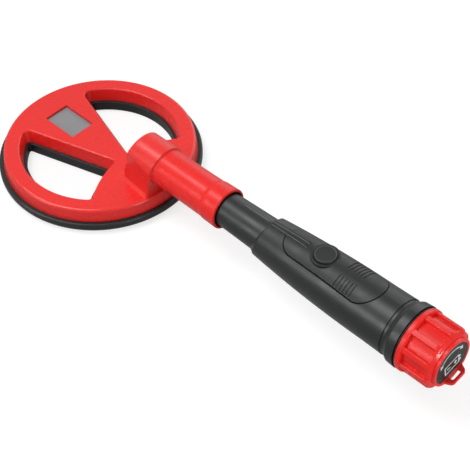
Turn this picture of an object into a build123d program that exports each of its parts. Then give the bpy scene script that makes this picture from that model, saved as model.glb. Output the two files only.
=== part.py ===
from build123d import *
from math import cos, hypot, radians, sin, sqrt
import os

# Hand-held metal detector: a spoked search head on an in-line grip, in millimetres.
# Origin at the centre of the head's underside, X along the grip, Z up.

# Search head
head_radius = 85.5
base_height = 9.2
base_floor = 2.5
base_edge_round = 5.5
base_rim_round = 1.2
base_window_round = 1.2
base_ledge = 2.3
rim_ledge = 3.9
rim_width = 18.1
cover_height = 11.3
cover_draft = 1.3
cover_wall = 2.2
cover_plate = 2.5
cover_edge_round = 2.5
window_draft = 2.4
window_front_corner = 6.0
window_hub_corner = 3.0
window_rear_corner = 4.0
window_least_corner = 0.6
window_edge_round = 1.2
spoke_half_width = 14.0
spoke_taper = 0.303
hub_edge = 26.5
rear_edge_angle = 47.5
rear_edge_bow = 3.0
gasket_width = 1.0
gasket_thickness = 0.9
gasket_inset = 0.6
lip_width = 1.2
lip_height = 2.0
lip_gap = 0.2

# Search coil
coil_gap = 0.4
coil_inner_gap = 2.3
coil_height = 9.0
coil_corner = 1.0
lead_radius = 0.4
lead_spacing = 6.0

# Display
lcd_edge = 47.0
lcd_length = 34.2
lcd_width = 23.0
lcd_border = 1.5
lcd_rim_height = 1.3
window_pane = 0.9
glass_length = 36.0
glass_width = 24.4
glass_thickness = 1.8
zebra_width = 2.4
zebra_height = 3.0
lcd_board_length = 47.0
lcd_board_width = 25.0
lcd_board_thickness = 1.2
post_radius = 2.0
post_edge = 2.6
stake_radius = 0.9
stake_length = 1.9
stake_gap = 0.1
head_plug_length = 6.5
head_plug_width = 9.0
head_plug_height = 3.6

# Saddle and tube
axis_height = 45.8
saddle_setback = 1.3
saddle_foot_length = 33.5
saddle_rear_half = 14.5
saddle_front_half = 17.6
saddle_rear_lean = 0.3
saddle_front_lean = 0.17
saddle_wall = 1.65
saddle_corner = 3.5
saddle_flare = 2.4
socket_depth = 19.0
socket_fit = 0.08
tube_radius = 16.05
tube_length = 86.5
tube_swell = 0.3
collar_length = 17.3
collar_ramp = 3.5
collar_step = 0.65
collar_flare = 0.4
collar_lip_round = 1.2
collar_mouth_depth = 11.0
collar_mouth_wall = 1.9
chamber_half_width = 4.5
chamber_length = 10.0
chamber_wall = 2.0

# Neck
spigot_length = 53.0
spigot_radius = 13.95
spigot_fit = 0.12
stop_step = 1.5
neck_length = 36.9
neck_lean = 0.49
neck_front_radius = 14.05
neck_rear_radius = 15.35
neck_seam_half_width = 0.35
neck_seam_height = 0.25
neck_seam_start = 17.0
neck_seam_side = 1.8
neck_bore_radius = 10.5
neck_seal_section = 0.8
neck_seal_gap = 0.05
neck_seal_first = 10.0
neck_seal_pitch = 9.0

# Grip
shoulder_length = 5.1
shoulder_lean = 0.24
shoulder_step = 0.3
grip_length = 110.0
crown_radius = 23.05
grip_sweep_radius = 1136.0
flare_length = 18.3
flare_radius = 23.45
groove_length = 2.4
groove_depth = 0.7
flange_ramp = 4.2
flange_length = 7.0
flange_front_radius = 25.3
flange_rear_radius = 25.85
flange_round = 1.5
bay_start = 8.0
bay_radius = 15.0
battery_bay_length = 44.0
battery_bay_radius = 18.0
thread_depth = 15.6
thread_radius = 20.1
spine_half_width = 3.4
spine_height = 1.0
spine_ramp = 6.0
spine_stop = 4.0

# Grip panel and button
panel_start = 21.0
panel_front_half = 13.1
panel_end = 111.2
panel_rear_half = 16.9
panel_front_corner = 12.8
panel_rear_corner = 15.8
panel_depth = 1.6
panel_raise = 0.3
panel_gap = 0.6
panel_bed = 0.05
button_place = 57.0
button_radius = 8.9
button_gap = 0.3
button_height = 2.6
button_raise = 0.9
button_round = 0.9
button_travel = 1.0
button_under_gap = 0.5
collar_width = 1.4
collar_raise = 0.1
stem_radius = 3.0
stem_gap = 0.15
button_seal_section = 0.8
button_seal_gap = 0.1
thumb_groove_count = 6
thumb_groove_pitch = 3.0
thumb_groove_width = 0.9
thumb_groove_depth = 0.5
thumb_groove_place = 20.4
thumb_groove_near = 16.0
thumb_groove_far = 3.0
thumb_groove_outer = 42.0

# Electronics in the grip
board_level = 4.0
board_thickness = 1.6
board_half_width = 13.4
board_front_gap = 2.0
board_rear_gap = 6.0
rail_reach = 1.2
rail_height = 1.2
rail_gap = 0.1
switch_side = 12.0
switch_height = 3.4
switch_floor = 0.6
plunger_radius = 2.9
plunger_gap = 0.15
plunger_bite = 1.4
plunger_rise = 2.8
board_plug_length = 8.0
board_plug_width = 10.0
board_plug_height = 5.0
chip_side = 9.0
chip_height = 1.4
chip_place = 20.0
transistor_length = 9.0
transistor_width = 6.5
transistor_height = 2.3
transistor_place = 7.5
transistor_side = -6.5
capacitor_radius = 3.15
capacitor_height = 7.5
capacitor_place = 33.0
capacitor_pitch = 9.0
buzzer_radius = 6.0
buzzer_height = 5.8
buzzer_place = 15.5
motor_radius = 4.0
motor_length = 16.0
motor_gap = 0.15
motor_place = 24.0
shaft_radius = 0.75
shaft_gap = 0.05
shaft_reach = 6.0
shaft_seat = 5.0
weight_radius = 3.6
weight_length = 4.0
weight_gap = 1.0
weight_hub_radius = 1.5
cable_radius = 1.6
cable_bend = 12.0

# Battery
battery_length = 46.4
battery_width = 26.5
battery_depth = 17.5
battery_corner = 2.5
battery_gap = 0.25
terminal_pitch = 12.7
terminal_height = 2.0
stud_radius = 2.85
crown_wall = 1.4
snap_gap = 0.15
contact_thickness = 1.6
contact_gap = 0.6
bay_fit = 0.2
sleeve_rear_gap = 2.0
wire_radius = 0.8
wire_length = 22.0
wire_pitch = 14.0

# Screw cap
seal_section = 0.85
seal_radius = 24.0
seal_gap = 0.05
plug_fit = 1.3
plug_wall = 2.2
plug_lead = 1.5
plug_floor = 10.4
pad_radius = 12.0
pad_gap = 0.2
cap_flange_radius = 25.6
cap_flange_length = 4.0
cap_flange_round = 0.8
cap_drum_length = 22.6
cap_rib_count = 10
cap_rib_width = 4.8
cap_rib_radius = 24.7
cap_rib_round = 4.4
cap_pocket_depth = 3.1
cap_rib_overhang = 2.0
cap_rib_edge = 0.9
cap_boss_length = 5.0
cap_boss_radius = 19.6
cap_rest_turn = 10.0
label_radius = 17.3
label_chord = 12.5
label_thickness = 0.4
label_recess = 0.6
label_gap = 0.1
loop_length = 6.2
loop_thickness = 3.0
loop_drop = 0.3
loop_root_half = 10.0
loop_tip_half = 7.0
loop_tip_corner = 3.0
loop_bar = 1.9
loop_hole_half = 5.0
loop_hole_corner = 1.6

# Places worked out from the sizes above
cover_radius = head_radius - rim_ledge
window_radius = head_radius - rim_width
lcd_x = lcd_edge - head_radius
cover_top = base_height + cover_height
cover_under = cover_top - cover_plate
cover_flat_radius = cover_radius - cover_draft - cover_edge_round
cavity_radius = cover_radius - cover_draft - cover_wall
saddle_radius = tube_radius + saddle_wall
saddle_crest = axis_height + saddle_radius
saddle_foot_front = cover_flat_radius - saddle_setback
saddle_foot_rear = saddle_foot_front - saddle_foot_length
saddle_rise = saddle_crest - cover_top
saddle_front = saddle_foot_front + saddle_front_lean * saddle_rise
tube_start = saddle_front - socket_depth
tube_end = tube_start + tube_length
tube_bore_radius = spigot_radius + spigot_fit
spigot_front = tube_end - spigot_length
neck_end = tube_end + neck_length
shoulder_x = neck_end + shoulder_length
crown_x = shoulder_x + grip_length
flare_x = crown_x + flare_length
flange_x = flare_x + groove_length
flange_front = flange_x + flange_ramp
handle_rear = flange_front + flange_length
bay_x = shoulder_x + bay_start
thread_x = handle_rear - thread_depth
contact_x = thread_x - battery_bay_length
button_x = shoulder_x + button_place
board_under = board_level - board_thickness
board_front = bay_x + board_front_gap
board_rear = contact_x - board_rear_gap
motor_axis = board_under - motor_gap - motor_radius
motor_front = board_front + motor_place
motor_rear = motor_front + motor_length
crown_radius_out = stud_radius + snap_gap + crown_wall
battery_front = contact_x + contact_thickness + terminal_height + contact_gap
battery_rear = battery_front + battery_length
cap_front = handle_rear + 2 * (seal_section + seal_gap)
drum_front = cap_front + cap_flange_length
drum_rear = drum_front + cap_drum_length
boss_rear = drum_rear + cap_boss_length
pocket_floor_radius = cap_rib_radius - cap_pocket_depth
lcd_rim_under = cover_under - lcd_rim_height
lcd_board_level = lcd_rim_under - window_pane - glass_thickness - zebra_height
lcd_board_under = lcd_board_level - lcd_board_thickness
lcd_board_rear = lcd_x + lcd_board_length / 2
lcd_board_front = lcd_x - lcd_board_length / 2
coil_outer = cavity_radius - lip_gap - lip_width - coil_gap
coil_inner = window_radius + cover_wall + coil_inner_gap

handle_axis = Axis((0, 0, axis_height), (1, 0, 0))
side_plane = Plane(origin=(0, 0, axis_height), x_dir=(1, 0, 0), z_dir=(0, -1, 0))


def grip_radius(x):
    """Radius of the grip's swept outline at x."""
    return crown_radius - grip_sweep_radius + sqrt(grip_sweep_radius**2 - (crown_x - x) ** 2)


def cross_plane(x, turn=0.0):
    """Plane across the grip at x, facing the rear, turned about the grip's axis."""
    across = (0, cos(radians(turn)), sin(radians(turn)))
    return Plane(origin=(x, 0, axis_height), x_dir=across, z_dir=(1, 0, 0))


def meridian_plane(angle):
    """Plane through the grip's axis at an angle from the top, with radius as its second axis."""
    facing = (0, -cos(radians(angle)), sin(radians(angle)))
    return Plane(origin=(0, 0, axis_height), x_dir=(1, 0, 0), z_dir=facing)


def level_plane(height):
    """Plane facing up, at a height over the grip's axis."""
    return Plane.XY.offset(axis_height + height)


def cap_level_plane(height):
    """Plane facing the cap's own up, at a height over the grip's axis."""
    turn = radians(cap_rest_turn)
    up = (0, -sin(turn), cos(turn))
    return Plane(origin=(0, up[1] * height, axis_height + up[2] * height), x_dir=(1, 0, 0), z_dir=up)


def flange_edge(edge):
    """Whether an edge is one of the two rims of the cap's flange."""
    return abs(edge.radius - cap_flange_radius) < cap_flange_round


def rib_corner(vertex):
    """Whether a vertex is one of the outer corners of the cap's ribs."""
    return hypot(vertex.X, vertex.Y) > cap_rib_radius - cap_rib_edge


def rib_section(core_radius):
    """Section of the cap's drum: a round core with rounded ribs."""
    with BuildSketch() as section:
        Circle(core_radius)
        with PolarLocations(0, cap_rib_count, start_angle=90 + 180 / cap_rib_count):
            with Locations((cap_rib_radius / 2, 0)):
                Rectangle(cap_rib_radius, cap_rib_width)
        fillet(section.vertices().filter_by(rib_corner), cap_rib_edge)
    return section.sketch


def label_plan(grow):
    """Outline of the cap's label: a disc cut off straight below."""
    with BuildSketch() as plan:
        Circle(label_radius + grow)
        with Locations((0, -label_chord - grow - label_radius)):
            Rectangle(4 * label_radius, 2 * label_radius, mode=Mode.SUBTRACT)
    return plan.sketch


def window_plan(side, grow):
    """Plan of the head's window on one side, with each edge moved outwards by grow."""
    turn = radians(rear_edge_angle)
    hub = Vector(hub_edge, spoke_half_width - spoke_taper * hub_edge)
    rear = Vector(window_radius * cos(turn), window_radius * sin(turn))
    chord = rear - hub
    bow_radius = (chord.length**2 / 4 + rear_edge_bow**2) / (2 * rear_edge_bow)
    outwards = Vector(chord.Y, -chord.X).normalized()
    bow_centre = (hub + rear) / 2 + outwards * (bow_radius - rear_edge_bow)
    spoke_edge = spoke_half_width - grow * sqrt(1 + spoke_taper**2)
    far = 2 * window_radius
    with BuildSketch() as plan:
        Circle(window_radius + grow)
        with BuildLine():
            Polyline(
                (-far, side * (spoke_edge + spoke_taper * far)),
                (far, side * (spoke_edge - spoke_taper * far)),
                (far, side * 2 * far),
                (-far, side * 2 * far),
                close=True,
            )
        make_face(mode=Mode.INTERSECT)
        with Locations((bow_centre.X, side * bow_centre.Y)):
            Circle(bow_radius - grow, mode=Mode.SUBTRACT)
        corners = plan.vertices().sort_by(Axis.X)
        for corner, radius in zip(corners, (window_front_corner, window_hub_corner, window_rear_corner)):
            rounding = max(radius + grow, window_least_corner)
            fillet(plan.vertices().sort_by_distance((corner.X, corner.Y))[0], rounding)
    return plan.sketch


def window_pair(grow):
    """Plan of the head's two windows, with each edge moved outwards by grow."""
    with BuildSketch() as pair:
        for side in (1, -1):
            add(window_plan(side, grow))
    return pair.sketch


def panel_plan(grow):
    """Plan of the grip panel, with its edge moved outwards by grow."""
    front = shoulder_x + panel_start - grow
    rear = shoulder_x + panel_end + grow
    front_half = panel_front_half + grow
    rear_half = panel_rear_half + grow
    with BuildSketch() as plan:
        with BuildLine():
            Polyline(
                (front, -front_half),
                (rear, -rear_half),
                (rear, rear_half),
                (front, front_half),
                close=True,
            )
        make_face()
        fillet(plan.vertices().group_by(Axis.X)[0], panel_front_corner + grow)
        fillet(plan.vertices().group_by(Axis.X)[-1], panel_rear_corner + grow)
    return plan.sketch


def grip_swell(grow):
    """Solid of the grip's swept outline between shoulder and flange, moved outwards by grow."""
    front = shoulder_x - 2 * shoulder_lean * crown_radius
    middle = (front + crown_x) / 2
    with BuildPart() as swell:
        with BuildSketch(side_plane):
            with BuildLine():
                Polyline((crown_x, crown_radius + grow), (flare_x, flare_radius + grow), (flare_x, 0))
                Polyline((flare_x, 0), (front, 0), (front, grip_radius(front) + grow))
                ThreePointArc(
                    (front, grip_radius(front) + grow),
                    (middle, grip_radius(middle) + grow),
                    (crown_x, crown_radius + grow),
                )
            make_face()
        revolve(axis=handle_axis)
    return swell.part


# Saddle: an arch over the tube, narrowing to the rear, with both ends leaning
with BuildPart() as saddle:
    with BuildSketch(Plane.XZ):
        with BuildLine():
            Polyline(
                (saddle_foot_rear - saddle_rear_lean * cover_plate, cover_under),
                (saddle_foot_front, cover_under),
                (saddle_front, saddle_crest),
                (saddle_foot_rear + saddle_rear_lean * saddle_rise, saddle_crest),
                close=True,
            )
        make_face()
    extrude(amount=saddle_radius, both=True)
    with BuildSketch(cross_plane(saddle_foot_rear - saddle_radius)):
        Circle(saddle_radius)
        with Locations((0, -axis_height / 2)):
            Rectangle(2 * saddle_radius, axis_height)
    extrude(amount=saddle_foot_length + 2 * saddle_radius, mode=Mode.INTERSECT)
    with BuildSketch():
        with BuildLine():
            Polyline(
                (saddle_foot_rear - saddle_rear_lean * cover_plate, -saddle_rear_half),
                (saddle_foot_front, -saddle_front_half),
                (saddle_front, -saddle_radius),
                (saddle_front, saddle_radius),
                (saddle_foot_front, saddle_front_half),
                (saddle_foot_rear - saddle_rear_lean * cover_plate, saddle_rear_half),
                close=True,
            )
        make_face()
    extrude(amount=saddle_crest, mode=Mode.INTERSECT)
    rear_face = saddle.faces().sort_by(Axis.X)[0]
    fillet(rear_face.edges().sort_by(Axis.Z)[1:], saddle_corner)

# Cover of the search head, with the saddle moulded on
with BuildPart() as coil_cover:
    with BuildSketch(Plane.XZ):
        with BuildLine():
            Polyline(
                (0, base_height),
                (cover_radius, base_height),
                (cover_radius - cover_draft, cover_top),
                (0, cover_top),
                close=True,
            )
        make_face()
    revolve(axis=Axis.Z)
    fillet(coil_cover.edges().filter_by(GeomType.CIRCLE).group_by(Axis.Z)[-1], cover_edge_round)
    for side in (1, -1):
        with BuildSketch(Plane.XY.offset(base_height)):
            add(window_plan(side, -window_draft))
        with BuildSketch(Plane.XY.offset(cover_top)):
            add(window_plan(side, 0))
        loft(ruled=True, mode=Mode.SUBTRACT)
    top_face = coil_cover.faces().sort_by(Axis.Z)[-1]
    window_edges = [edge for wire in top_face.inner_wires() for edge in wire.edges()]
    fillet(window_edges, window_edge_round)
    add(saddle.part)
    with BuildSketch(Plane.XY.offset(cover_top)):
        with BuildLine():
            Polyline(
                (saddle_foot_rear - saddle_flare, -saddle_rear_half - saddle_flare),
                (saddle_foot_front, -saddle_front_half - saddle_flare),
                (saddle_foot_front, saddle_front_half + saddle_flare),
                (saddle_foot_rear - saddle_flare, saddle_rear_half + saddle_flare),
                close=True,
            )
        make_face()
    extrude(amount=saddle_flare, taper=45)
    with BuildSketch(Plane.XY.offset(base_height)):
        Circle(cavity_radius)
        add(window_pair(cover_wall), mode=Mode.SUBTRACT)
    extrude(amount=cover_height - cover_plate, mode=Mode.SUBTRACT)
    with BuildSketch(cross_plane(tube_start)):
        Circle(tube_radius + socket_fit)
    extrude(amount=2 * socket_depth, mode=Mode.SUBTRACT)
    with BuildSketch(Plane.XZ):
        with BuildLine():
            Polyline(
                (tube_start - chamber_length, cover_under),
                (tube_start + chamber_wall, cover_under),
                (tube_start + chamber_wall, axis_height + cable_radius),
                (tube_start - chamber_length + 2 * chamber_wall, axis_height + cable_radius),
                close=True,
            )
        make_face()
    extrude(amount=chamber_half_width, both=True, mode=Mode.SUBTRACT)
    with BuildSketch(Plane.XY.offset(lcd_rim_under)):
        with Locations((lcd_x, 0)):
            Rectangle(lcd_length + 2 * lcd_border, lcd_width + 2 * lcd_border)
    extrude(amount=lcd_rim_height)
    with BuildSketch(Plane.XY.offset(cover_top)):
        with Locations((lcd_x, 0)):
            Rectangle(lcd_length, lcd_width)
    extrude(amount=-cover_plate - lcd_rim_height, mode=Mode.SUBTRACT)
    post_x = lcd_board_length - 2 * post_edge
    post_y = lcd_board_width - 2 * post_edge
    with BuildSketch(Plane.XY.offset(lcd_board_level)):
        with Locations((lcd_x, 0)):
            with GridLocations(post_x, post_y, 2, 2):
                Circle(post_radius)
    extrude(amount=cover_under - lcd_board_level)
    with BuildSketch(Plane.XY.offset(lcd_board_level)):
        with Locations((lcd_x, 0)):
            with GridLocations(post_x, post_y, 2, 2):
                Circle(stake_radius)
    extrude(amount=-stake_length)

# Base tray of the search head
with BuildPart() as coil_base:
    with BuildSketch():
        Circle(head_radius)
        add(window_pair(-window_draft - base_ledge), mode=Mode.SUBTRACT)
    extrude(amount=base_height)
    underside = coil_base.faces().filter_by(Plane.XY).sort_by(Axis.Z)[0]
    fillet(underside.outer_wire().edges(), base_edge_round)
    underside = coil_base.faces().filter_by(Plane.XY).sort_by(Axis.Z)[0]
    fillet([edge for wire in underside.inner_wires() for edge in wire.edges()], base_window_round)
    fillet(coil_base.faces().filter_by(Plane.XY).sort_by(Axis.Z)[-1].outer_wire().edges(), base_rim_round)
    with BuildSketch(Plane.XY.offset(base_floor)):
        Circle(cavity_radius)
        add(window_pair(cover_wall), mode=Mode.SUBTRACT)
    extrude(amount=base_height - base_floor, mode=Mode.SUBTRACT)
    with BuildSketch(Plane.XY.offset(base_floor)):
        Circle(cavity_radius)
        Circle(cavity_radius - lip_gap - lip_width, mode=Mode.SUBTRACT)
    extrude(amount=base_height - base_floor)
    with BuildSketch(Plane.XY.offset(base_height)):
        Circle(cavity_radius - lip_gap)
        Circle(cavity_radius - lip_gap - lip_width, mode=Mode.SUBTRACT)
    extrude(amount=lip_height)
    with BuildSketch(Plane.XY.offset(base_height)):
        Circle(cover_radius - gasket_inset)
        Circle(cover_radius - gasket_inset - gasket_width, mode=Mode.SUBTRACT)
        add(window_pair(gasket_inset + gasket_width))
        add(window_pair(gasket_inset), mode=Mode.SUBTRACT)
    extrude(amount=-gasket_thickness, mode=Mode.SUBTRACT)

# Seam seal, one bead round the rim and one round each window
with BuildPart() as head_gasket:
    with BuildSketch(Plane.XY.offset(base_height)):
        Circle(cover_radius - gasket_inset)
        Circle(cover_radius - gasket_inset - gasket_width, mode=Mode.SUBTRACT)
        add(window_pair(gasket_inset + gasket_width))
        add(window_pair(gasket_inset), mode=Mode.SUBTRACT)
    extrude(amount=-gasket_thickness)

# Wound coil, as one taped ring on the tray's floor
with BuildPart() as search_coil:
    with BuildSketch(Plane.XY.offset(base_floor)):
        Circle(coil_outer)
        Circle(coil_inner, mode=Mode.SUBTRACT)
    extrude(amount=coil_height)
    fillet(search_coil.edges().group_by(Axis.Z)[-1], coil_corner)

# Clear pane, bonded under the rim of the display's opening
with BuildPart() as lcd_window:
    with BuildSketch(Plane.XY.offset(lcd_rim_under)):
        with Locations((lcd_x, 0)):
            Rectangle(lcd_length + 2 * lcd_border, lcd_width + 2 * lcd_border)
    extrude(amount=-window_pane)

# Display glass, held against the underside of the pane
with BuildPart() as lcd_glass:
    with BuildSketch(Plane.XY.offset(lcd_rim_under - window_pane)):
        with Locations((lcd_x, 0)):
            Rectangle(glass_length, glass_width)
    extrude(amount=-glass_thickness)

# Rubber contact strips along the two long edges of the display
with BuildPart() as zebra_strips:
    with BuildSketch(Plane.XY.offset(lcd_board_level)):
        with Locations((lcd_x, 0)):
            with GridLocations(1, glass_width - zebra_width, 1, 2):
                Rectangle(glass_length - zebra_width, zebra_width)
    extrude(amount=zebra_height)

# Display board on the cover's four stakes
with BuildPart() as lcd_board:
    with BuildSketch(Plane.XY.offset(lcd_board_level)):
        with Locations((lcd_x, 0)):
            Rectangle(lcd_board_length, lcd_board_width)
            with GridLocations(post_x, post_y, 2, 2):
                Circle(stake_radius + stake_gap, mode=Mode.SUBTRACT)
    extrude(amount=-lcd_board_thickness)

# Plug for the grip's lead, under the rear edge of the display board
with BuildPart() as head_plug:
    with BuildSketch(Plane.XY.offset(lcd_board_under)):
        with Locations((lcd_board_rear - head_plug_length / 2, 0)):
            Rectangle(head_plug_length, head_plug_width)
    extrude(amount=-head_plug_height)

# Two enamelled wires from the coil to the front edge of the display board
with BuildPart() as coil_leads:
    lead_level = lcd_board_under - lead_radius
    lead_start = sqrt(coil_inner**2 - (lead_spacing / 2 + lead_radius) ** 2)
    with BuildSketch(Plane.YZ.offset(-lead_start)):
        with Locations((0, lead_level)):
            with GridLocations(lead_spacing, 1, 2, 1):
                Circle(lead_radius)
    extrude(amount=lead_start + lcd_board_front + lead_spacing)

# Tube between saddle and neck, with a flared collar
with BuildPart() as socket_tube:
    collar_x = tube_end - collar_length
    step_radius = tube_radius + tube_swell + collar_step
    collar_radius = step_radius + collar_flare
    mouth_radius = collar_radius - collar_mouth_wall
    with BuildSketch(side_plane):
        with BuildLine():
            Polyline(
                (tube_start, tube_bore_radius - stop_step),
                (tube_start, tube_radius),
                (saddle_front + socket_depth, tube_radius),
                (collar_x, tube_radius + tube_swell),
                (collar_x + collar_ramp, step_radius),
                (tube_end, collar_radius),
                (tube_end, mouth_radius),
                (tube_end - collar_mouth_depth, mouth_radius),
                (tube_end - collar_mouth_depth, tube_bore_radius),
                (spigot_front, tube_bore_radius),
                (spigot_front, tube_bore_radius - stop_step),
                close=True,
            )
        make_face()
    revolve(axis=handle_axis)
    lip_edge = socket_tube.faces().sort_by(Axis.X)[-1].outer_wire().edges()
    fillet(lip_edge, collar_lip_round)

# Seals in two grooves of the neck's spigot
seal_groove_radius = tube_bore_radius - neck_seal_gap - 2 * neck_seal_section
neck_seal_places = [spigot_front + neck_seal_first + neck_seal_pitch * step for step in range(2)]
with BuildPart() as neck_seals:
    with BuildSketch(side_plane):
        for place in neck_seal_places:
            with Locations((place, seal_groove_radius + neck_seal_section)):
                Circle(neck_seal_section)
    revolve(axis=handle_axis)

# Spine along the top of the grip, from the shoulder to a ramp in front of the button
shoulder_plane = Plane(
    origin=(shoulder_x, 0, axis_height), x_dir=(0, 1, 0), z_dir=(1, 0, -shoulder_lean)
)
with BuildPart() as spine:
    add(grip_swell(spine_height))
    split(bisect_by=shoulder_plane, keep=Keep.TOP)
    spine_rear = button_x - button_radius - button_gap - collar_width - spine_stop
    with BuildSketch(level_plane(0)):
        with Locations(((shoulder_x + spine_rear) / 2, 0)):
            Rectangle(spine_rear - shoulder_x, 2 * spine_half_width)
    extrude(amount=2 * crown_radius, mode=Mode.INTERSECT)
    ramp_plane = Plane(
        origin=(spine_rear, 0, axis_height + grip_radius(spine_rear)),
        x_dir=(0, 1, 0),
        z_dir=(spine_height / spine_ramp, 0, 1),
    )
    split(bisect_by=ramp_plane, keep=Keep.BOTTOM)

# Fine moulding seam along the top of the neck
seam_x = tube_end + neck_seam_start
with BuildPart() as neck_seam:
    with BuildSketch(side_plane):
        with BuildLine():
            Polyline(
                (tube_end, 0),
                (tube_end, neck_front_radius + neck_seam_height),
                (bay_x, neck_rear_radius + neck_seam_height),
                (bay_x, 0),
                close=True,
            )
        make_face()
    revolve(axis=handle_axis)
    with BuildSketch(level_plane(0)):
        with Locations(((seam_x + shoulder_x) / 2, neck_seam_side)):
            Rectangle(shoulder_x - seam_x, 2 * neck_seam_half_width)
    extrude(amount=crown_radius, mode=Mode.INTERSECT)

# Sloped shoulder between neck and grip, with both rims leaning
shoulder_reach = shoulder_lean * grip_radius(shoulder_x)
rim_high = grip_radius(shoulder_x + shoulder_reach) - shoulder_step
rim_low = grip_radius(shoulder_x - shoulder_reach) - shoulder_step
with BuildPart() as shoulder:
    neck_plane = Plane(origin=(neck_end, 0, axis_height), x_dir=(0, 1, 0), z_dir=(1, 0, -neck_lean))
    with BuildSketch(neck_plane):
        Ellipse(neck_front_radius, neck_front_radius * sqrt(1 + neck_lean**2))
    with BuildSketch(shoulder_plane):
        with Locations((0, (rim_high - rim_low) / 2)):
            Ellipse((rim_high + rim_low) / 2, (rim_high + rim_low) / 2 * sqrt(1 + shoulder_lean**2))
    loft(ruled=True)

# Bed of the grip panel: what the inlay takes out of the grip
with BuildPart() as panel_bed_cut:
    with BuildSketch(level_plane(0)):
        add(panel_plan(panel_gap))
    extrude(amount=2 * crown_radius)
    add(grip_swell(-panel_depth), mode=Mode.SUBTRACT)

# Neck and grip, one hollow moulding
button_level = grip_radius(button_x)
button_well = button_level + button_raise - button_height - button_travel - button_under_gap
seal_well = button_well - 2 * (button_seal_section + button_seal_gap)
with BuildPart() as handle_body:
    add(grip_swell(0))
    with BuildSketch(side_plane):
        with BuildLine():
            Polyline(
                (crown_x, 0),
                (handle_rear, 0),
                (handle_rear, flange_rear_radius),
                (flange_front, flange_front_radius),
                (flange_x, flare_radius - groove_depth),
                (flare_x, flare_radius - groove_depth),
                (crown_x, crown_radius - groove_depth),
                close=True,
            )
        flange_section = make_face()
        flange_corner = flange_section.vertices().sort_by_distance((flange_front, flange_front_radius))[0]
        fillet(flange_corner, flange_round)
    revolve(axis=handle_axis)
    split(bisect_by=shoulder_plane, keep=Keep.TOP)
    add(shoulder.part)
    add(spine.part)
    add(neck_seam.part)
    add(panel_bed_cut.part, mode=Mode.SUBTRACT)
    with BuildSketch(side_plane):
        with BuildLine():
            Polyline(
                (spigot_front, 0),
                (spigot_front, spigot_radius),
                (tube_end, spigot_radius),
                (tube_end, neck_front_radius),
                (bay_x, neck_rear_radius),
                (bay_x, 0),
                close=True,
            )
        make_face()
        for place in neck_seal_places:
            with Locations((place, seal_groove_radius + spigot_radius)):
                Rectangle(2 * (neck_seal_section + neck_seal_gap), 2 * spigot_radius, mode=Mode.SUBTRACT)
    revolve(axis=handle_axis)
    with BuildSketch(side_plane):
        with BuildLine():
            Polyline(
                (spigot_front, 0),
                (spigot_front, neck_bore_radius),
                (bay_x, neck_bore_radius),
                (bay_x, bay_radius),
                (contact_x, bay_radius),
                (contact_x, battery_bay_radius),
                (thread_x, battery_bay_radius),
                (thread_x, thread_radius),
                (handle_rear, thread_radius),
                (handle_rear, 0),
                close=True,
            )
        make_face()
    revolve(axis=handle_axis, mode=Mode.SUBTRACT)
    rail_width = bay_radius - board_half_width + 2 * rail_reach
    for level in (board_under - rail_gap - rail_height, board_level + rail_gap):
        with BuildSketch(level_plane(level)):
            with Locations(((board_front + board_rear) / 2, 0)):
                with GridLocations(1, bay_radius + board_half_width, 1, 2):
                    Rectangle(board_rear - board_front, rail_width)
        extrude(amount=rail_height)
    with BuildSketch(level_plane(button_well)):
        with Locations((button_x, 0)):
            Circle(button_radius + button_gap)
    extrude(amount=crown_radius, mode=Mode.SUBTRACT)
    with BuildSketch(level_plane(seal_well)):
        with Locations((button_x, 0)):
            Circle(stem_radius + 2 * (button_seal_section + button_seal_gap))
    extrude(amount=crown_radius, mode=Mode.SUBTRACT)
    with BuildSketch(level_plane(0)):
        with Locations((button_x, 0)):
            Circle(stem_radius + stem_gap)
    extrude(amount=crown_radius, mode=Mode.SUBTRACT)

# Outer shape of the grip panel: the grip's sweep, a little raised, with the spine
with BuildPart() as panel_shape:
    add(grip_swell(panel_raise))
    add(spine.part)

# Soft inlay of the grip, with a tongue under the spine and thumb grooves behind the button's collar
with BuildPart() as grip_panel:
    with BuildSketch(level_plane(0)):
        add(panel_plan(panel_gap - panel_bed))
        with Locations((shoulder_x + panel_start, 0)):
            Rectangle(2 * spine_half_width, 2 * spine_half_width, mode=Mode.INTERSECT)
        add(panel_plan(0))
    extrude(amount=2 * crown_radius)
    add(panel_shape.part, mode=Mode.INTERSECT)
    with BuildSketch(level_plane(0)):
        with Locations((button_x, 0)):
            Circle(button_radius + button_gap + collar_width)
    extrude(amount=button_level + collar_raise + panel_raise)
    add(grip_swell(panel_bed - panel_depth), mode=Mode.SUBTRACT)
    with BuildSketch(level_plane(0)):
        with Locations((button_x, 0)):
            Circle(button_radius + button_gap)
    extrude(amount=2 * crown_radius, mode=Mode.SUBTRACT)
    groove_first = button_x + thumb_groove_place
    groove_places = [groove_first + thumb_groove_pitch * step for step in range(thumb_groove_count)]
    for first, last in (
        (thumb_groove_far, thumb_groove_outer),
        (-thumb_groove_outer, -thumb_groove_near),
    ):
        with BuildSketch(meridian_plane(first)):
            for place in groove_places:
                with Locations((place, grip_radius(place) + panel_raise)):
                    Rectangle(thumb_groove_width, 2 * thumb_groove_depth)
        revolve(
            axis=handle_axis,
            revolution_arc=first - last,
            mode=Mode.SUBTRACT,
        )

# Round button with its stem
plunger_top = board_level + switch_height + plunger_rise
with BuildPart() as button_cap:
    with BuildSketch(level_plane(button_level + button_raise)):
        with Locations((button_x, 0)):
            Circle(button_radius)
    extrude(amount=-button_height)
    fillet(button_cap.edges().group_by(Axis.Z)[-1], button_round)
    with BuildSketch(level_plane(plunger_top)):
        with Locations((button_x, 0)):
            Circle(stem_radius)
    extrude(amount=button_level + button_raise - button_height - plunger_top)

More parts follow.
